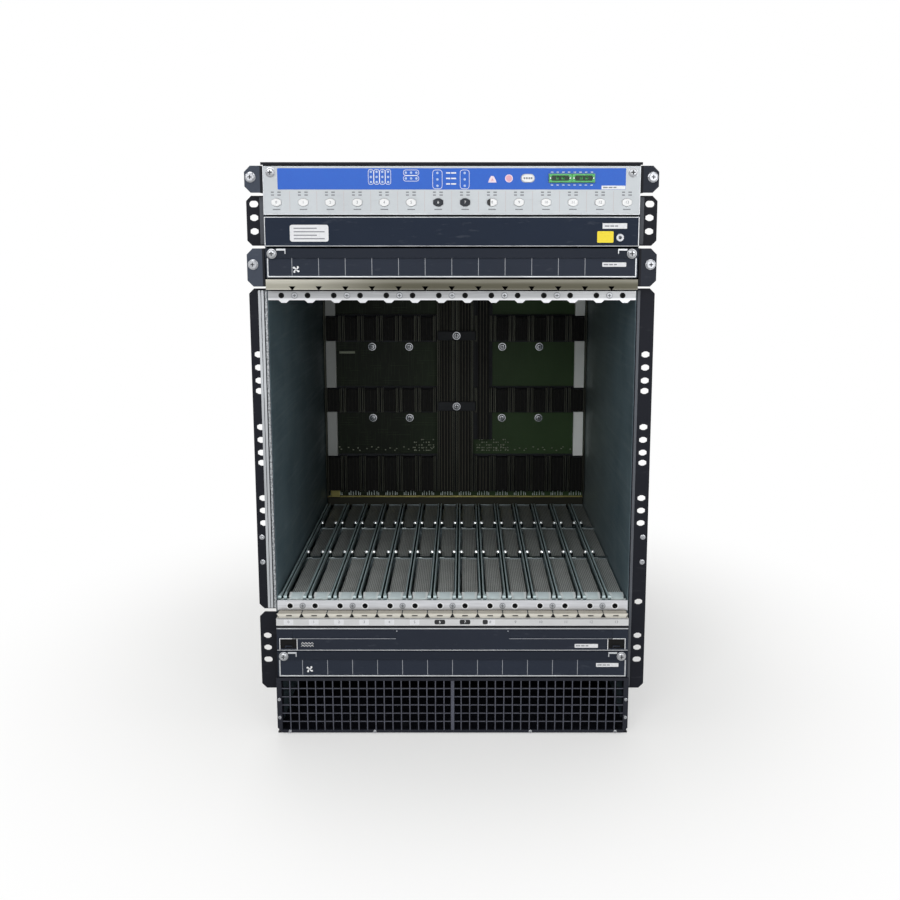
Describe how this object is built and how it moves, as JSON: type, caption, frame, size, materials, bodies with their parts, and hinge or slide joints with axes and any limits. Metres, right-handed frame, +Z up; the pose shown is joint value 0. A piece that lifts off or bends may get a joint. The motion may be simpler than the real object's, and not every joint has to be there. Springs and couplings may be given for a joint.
{
  "type": "modular chassis router",
  "caption": "Rack chassis of a modular network router: empty upright card cage with a midplane, display panel, two pull-out fan trays, air filter and intake grille.",
  "frame": {"origin": "centre of the face that the chassis rests on, midway between front panels and rear covers", "axes": "+Z up, +X to the right seen from the front, the front looks along -Y"},
  "size_m": [0.4826, 0.588, 0.705],
  "materials": {
    "painted_wall": "fine textured black powder coat",
    "ear_grey": "dark grey powder coat",
    "bolt_steel": "bright zinc plated steel",
    "zinc_sheet": "zinc plated sheet",
    "display_silver": "satin silver paint",
    "circuit_board": "dark green solder mask",
    "terminal_green": "green moulded plastic",
    "panel_grey": "dark blue grey powder coat",
    "rail_aluminium": "satin",
    "tab_cream": "yellowish zinc",
    "guide_zinc": "zinc plated",
    "connector_black": "black moulded plastic",
    "grille_black": "black powder coat",
    "tray_dark": "dark powder coat",
    "fan_plastic": "black glass filled plastic",
    "filter_foam": "open cell foam",
    "button_white": "white keycap",
    "button_dark": "dark keycap"
  },
  "bodies": {
    "chassis": {"left_side_wall": "painted_wall", "right_side_wall": "painted_wall", "top_cover": "painted_wall", "base_pan": "painted_wall", "rear_panel": "painted_wall", "power_bay_covers": "painted_wall", "rack_ears": "ear_grey", "ear_bolts": "bolt_steel", "tray_runners": "zinc_sheet", "display_panel": "display_silver", "display_board": "circuit_board", "alarm_terminals": "terminal_green", "plenum_panel": "panel_grey", "wrist_strap_jack": "bolt_steel", "upper_trim_strip": "zinc_sheet", "upper_rail": "rail_aluminium", "lower_rail": "rail_aluminium", "ejector_tabs": "tab_cream", "number_strip": "zinc_sheet", "cage_ceiling": "zinc_sheet", "cage_floor": "zinc_sheet", "upper_card_guides": "guide_zinc", "lower_card_guides": "guide_zinc", "midplane": "circuit_board", "slot_connectors": "connector_black", "midplane_brackets": "rail_aluminium", "intake_grille": "grille_black"},
    "upper_tray": {"upper_fan_tray": "tray_dark", "upper_fan_frames": "fan_plastic"},
    "lower_tray": {"lower_fan_tray": "tray_dark", "lower_fan_frames": "fan_plastic"},
    "filter": {"filter_tray": "tray_dark", "filter_media": "filter_foam"},
    "upper_rotor_1": {"upper_fan_rotor_1": "fan_plastic"},
    "upper_rotor_2": {"upper_fan_rotor_2": "fan_plastic"},
    "upper_rotor_3": {"upper_fan_rotor_3": "fan_plastic"},
    "upper_rotor_4": {"upper_fan_rotor_4": "fan_plastic"},
    "upper_rotor_5": {"upper_fan_rotor_5": "fan_plastic"},
    "upper_rotor_6": {"upper_fan_rotor_6": "fan_plastic"},
    "lower_rotor_1": {"lower_fan_rotor_1": "fan_plastic"},
    "lower_rotor_2": {"lower_fan_rotor_2": "fan_plastic"},
    "lower_rotor_3": {"lower_fan_rotor_3": "fan_plastic"},
    "lower_rotor_4": {"lower_fan_rotor_4": "fan_plastic"},
    "lower_rotor_5": {"lower_fan_rotor_5": "fan_plastic"},
    "lower_rotor_6": {"lower_fan_rotor_6": "fan_plastic"},
    "slot_button_0": {"slot_button_0": "button_white"},
    "slot_button_1": {"slot_button_1": "button_white"},
    "slot_button_2": {"slot_button_2": "button_white"},
    "slot_button_3": {"slot_button_3": "button_white"},
    "slot_button_4": {"slot_button_4": "button_white"},
    "slot_button_5": {"slot_button_5": "button_white"},
    "slot_button_6": {"slot_button_6": "button_dark"},
    "slot_button_7": {"slot_button_7": "button_dark"},
    "slot_button_8": {"slot_button_8": "button_white"},
    "slot_button_9": {"slot_button_9": "button_white"},
    "slot_button_10": {"slot_button_10": "button_white"},
    "slot_button_11": {"slot_button_11": "button_white"},
    "slot_button_12": {"slot_button_12": "button_white"},
    "slot_button_13": {"slot_button_13": "button_white"},
    "cutoff_button": {"cutoff_button": "button_white"}
  },
  "joints": [
    {"name": "upper_tray_slide", "type": "slide", "parent": "chassis", "child": "upper_tray", "axis": [0, -1, 0], "range_m": [0, 0.3]},
    {"name": "lower_tray_slide", "type": "slide", "parent": "chassis", "child": "lower_tray", "axis": [0, -1, 0], "range_m": [0, 0.3]},
    {"name": "filter_slide", "type": "slide", "parent": "chassis", "child": "filter", "axis": [0, -1, 0], "range_m": [0, 0.35]},
    {"name": "upper_rotor_1_spin", "type": "hinge", "parent": "upper_tray", "child": "upper_rotor_1", "pos_m": [-0.138, -0.1755, 0.5827], "axis": [0, 0, 1], "continuous": true},
    {"name": "upper_rotor_2_spin", "type": "hinge", "parent": "upper_tray", "child": "upper_rotor_2", "pos_m": [0, -0.1755, 0.5827], "axis": [0, 0, 1], "continuous": true},
    {"name": "upper_rotor_3_spin", "type": "hinge", "parent": "upper_tray", "child": "upper_rotor_3", "pos_m": [0.138, -0.1755, 0.5827], "axis": [0, 0, 1], "continuous": true},
    {"name": "upper_rotor_4_spin", "type": "hinge", "parent": "upper_tray", "child": "upper_rotor_4", "pos_m": [-0.138, -0.0375, 0.5827], "axis": [0, 0, 1], "continuous": true},
    {"name": "upper_rotor_5_spin", "type": "hinge", "parent": "upper_tray", "child": "upper_rotor_5", "pos_m": [0, -0.0375, 0.5827], "axis": [0, 0, 1], "continuous": true},
    {"name": "upper_rotor_6_spin", "type": "hinge", "parent": "upper_tray", "child": "upper_rotor_6", "pos_m": [0.138, -0.0375, 0.5827], "axis": [0, 0, 1], "continuous": true},
    {"name": "lower_rotor_1_spin", "type": "hinge", "parent": "lower_tray", "child": "lower_rotor_1", "pos_m": [-0.138, -0.1755, 0.0857], "axis": [0, 0, 1], "continuous": true},
    {"name": "lower_rotor_2_spin", "type": "hinge", "parent": "lower_tray", "child": "lower_rotor_2", "pos_m": [0, -0.1755, 0.0857], "axis": [0, 0, 1], "continuous": true},
    {"name": "lower_rotor_3_spin", "type": "hinge", "parent": "lower_tray", "child": "lower_rotor_3", "pos_m": [0.138, -0.1755, 0.0857], "axis": [0, 0, 1], "continuous": true},
    {"name": "lower_rotor_4_spin", "type": "hinge", "parent": "lower_tray", "child": "lower_rotor_4", "pos_m": [-0.138, -0.0375, 0.0857], "axis": [0, 0, 1], "continuous": true},
    {"name": "lower_rotor_5_spin", "type": "hinge", "parent": "lower_tray", "child": "lower_rotor_5", "pos_m": [0, -0.0375, 0.0857], "axis": [0, 0, 1], "continuous": true},
    {"name": "lower_rotor_6_spin", "type": "hinge", "parent": "lower_tray", "child": "lower_rotor_6", "pos_m": [0.138, -0.0375, 0.0857], "axis": [0, 0, 1], "continuous": true},
    {"name": "slot_button_0_press", "type": "slide", "parent": "chassis", "child": "slot_button_0", "axis": [0, 1, 0], "range_m": [0, 0.0008], "stiffness_N_per_m": 1500},
    {"name": "slot_button_1_press", "type": "slide", "parent": "chassis", "child": "slot_button_1", "axis": [0, 1, 0], "range_m": [0, 0.0008], "stiffness_N_per_m": 1500},
    {"name": "slot_button_2_press", "type": "slide", "parent": "chassis", "child": "slot_button_2", "axis": [0, 1, 0], "range_m": [0, 0.0008], "stiffness_N_per_m": 1500},
    {"name": "slot_button_3_press", "type": "slide", "parent": "chassis", "child": "slot_button_3", "axis": [0, 1, 0], "range_m": [0, 0.0008], "stiffness_N_per_m": 1500},
    {"name": "slot_button_4_press", "type": "slide", "parent": "chassis", "child": "slot_button_4", "axis": [0, 1, 0], "range_m": [0, 0.0008], "stiffness_N_per_m": 1500},
    {"name": "slot_button_5_press", "type": "slide", "parent": "chassis", "child": "slot_button_5", "axis": [0, 1, 0], "range_m": [0, 0.0008], "stiffness_N_per_m": 1500},
    {"name": "slot_button_6_press", "type": "slide", "parent": "chassis", "child": "slot_button_6", "axis": [0, 1, 0], "range_m": [0, 0.0008], "stiffness_N_per_m": 1500},
    {"name": "slot_button_7_press", "type": "slide", "parent": "chassis", "child": "slot_button_7", "axis": [0, 1, 0], "range_m": [0, 0.0008], "stiffness_N_per_m": 1500},
    {"name": "slot_button_8_press", "type": "slide", "parent": "chassis", "child": "slot_button_8", "axis": [0, 1, 0], "range_m": [0, 0.0008], "stiffness_N_per_m": 1500},
    {"name": "slot_button_9_press", "type": "slide", "parent": "chassis", "child": "slot_button_9", "axis": [0, 1, 0], "range_m": [0, 0.0008], "stiffness_N_per_m": 1500},
    {"name": "slot_button_10_press", "type": "slide", "parent": "chassis", "child": "slot_button_10", "axis": [0, 1, 0], "range_m": [0, 0.0008], "stiffness_N_per_m": 1500},
    {"name": "slot_button_11_press", "type": "slide", "parent": "chassis", "child": "slot_button_11", "axis": [0, 1, 0], "range_m": [0, 0.0008], "stiffness_N_per_m": 1500},
    {"name": "slot_button_12_press", "type": "slide", "parent": "chassis", "child": "slot_button_12", "axis": [0, 1, 0], "range_m": [0, 0.0008], "stiffness_N_per_m": 1500},
    {"name": "slot_button_13_press", "type": "slide", "parent": "chassis", "child": "slot_button_13", "axis": [0, 1, 0], "range_m": [0, 0.0008], "stiffness_N_per_m": 1500},
    {"name": "cutoff_button_press", "type": "slide", "parent": "chassis", "child": "cutoff_button", "axis": [0, 1, 0], "range_m": [0, 0.0008], "stiffness_N_per_m": 1500}
  ]
}
